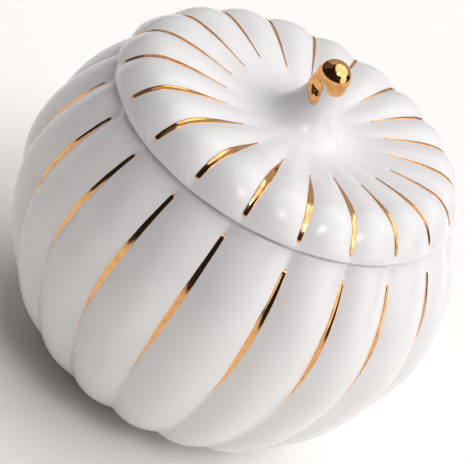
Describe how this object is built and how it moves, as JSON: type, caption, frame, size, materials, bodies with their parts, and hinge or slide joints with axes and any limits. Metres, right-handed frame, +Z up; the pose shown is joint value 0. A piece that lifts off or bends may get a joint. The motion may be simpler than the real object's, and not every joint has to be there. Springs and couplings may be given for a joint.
{
  "type": "pumpkin jar",
  "caption": "Lidded ceramic jar shaped like a ribbed pumpkin, with gold lustre in the grooves and on the tip of its stem knob; the lid lifts off.",
  "frame": {"origin": "middle of the foot ring, on the surface that the jar stands on", "axes": "+Z up through the lid; -Y is the front; +X is to the right seen from the front"},
  "size_m": [0.1493, 0.1494, 0.1377],
  "materials": {
    "white_glaze": "white glossy glaze over slip-cast clay",
    "bare_clay": "unglazed, wiped bare",
    "gold_lustre": "fired gold lustre, brushed on by hand"
  },
  "bodies": {
    "jar": {"jar_body": "white_glaze", "foot_ring": "bare_clay", "jar_gold_line_01": "gold_lustre", "jar_gold_line_02": "gold_lustre", "jar_gold_line_03": "gold_lustre", "jar_gold_line_04": "gold_lustre", "jar_gold_line_05": "gold_lustre", "jar_gold_line_06": "gold_lustre", "jar_gold_line_07": "gold_lustre", "jar_gold_line_08": "gold_lustre", "jar_gold_line_09": "gold_lustre", "jar_gold_line_10": "gold_lustre", "jar_gold_line_11": "gold_lustre", "jar_gold_line_12": "gold_lustre", "jar_gold_line_13": "gold_lustre", "jar_gold_line_14": "gold_lustre", "jar_gold_line_15": "gold_lustre", "jar_gold_line_16": "gold_lustre", "jar_gold_line_17": "gold_lustre", "jar_gold_line_18": "gold_lustre", "jar_gold_line_19": "gold_lustre", "jar_gold_line_20": "gold_lustre"},
    "lid": {"lid_shell": "white_glaze", "lid_flange": "white_glaze", "stem": "white_glaze", "stem_gold_tip": "gold_lustre", "lid_gold_line_01": "gold_lustre", "lid_gold_line_02": "gold_lustre", "lid_gold_line_03": "gold_lustre", "lid_gold_line_04": "gold_lustre", "lid_gold_line_05": "gold_lustre", "lid_gold_line_06": "gold_lustre", "lid_gold_line_07": "gold_lustre", "lid_gold_line_08": "gold_lustre", "lid_gold_line_09": "gold_lustre", "lid_gold_line_10": "gold_lustre", "lid_gold_line_11": "gold_lustre", "lid_gold_line_12": "gold_lustre", "lid_gold_line_13": "gold_lustre", "lid_gold_line_14": "gold_lustre", "lid_gold_line_15": "gold_lustre", "lid_gold_line_16": "gold_lustre", "lid_gold_line_17": "gold_lustre", "lid_gold_line_18": "gold_lustre", "lid_gold_line_19": "gold_lustre", "lid_gold_line_20": "gold_lustre"}
  },
  "joints": [
    {"name": "lid_lift", "type": "slide", "parent": "jar", "child": "lid", "axis": [0, 0, 1], "range_m": [0, 0.07]}
  ]
}
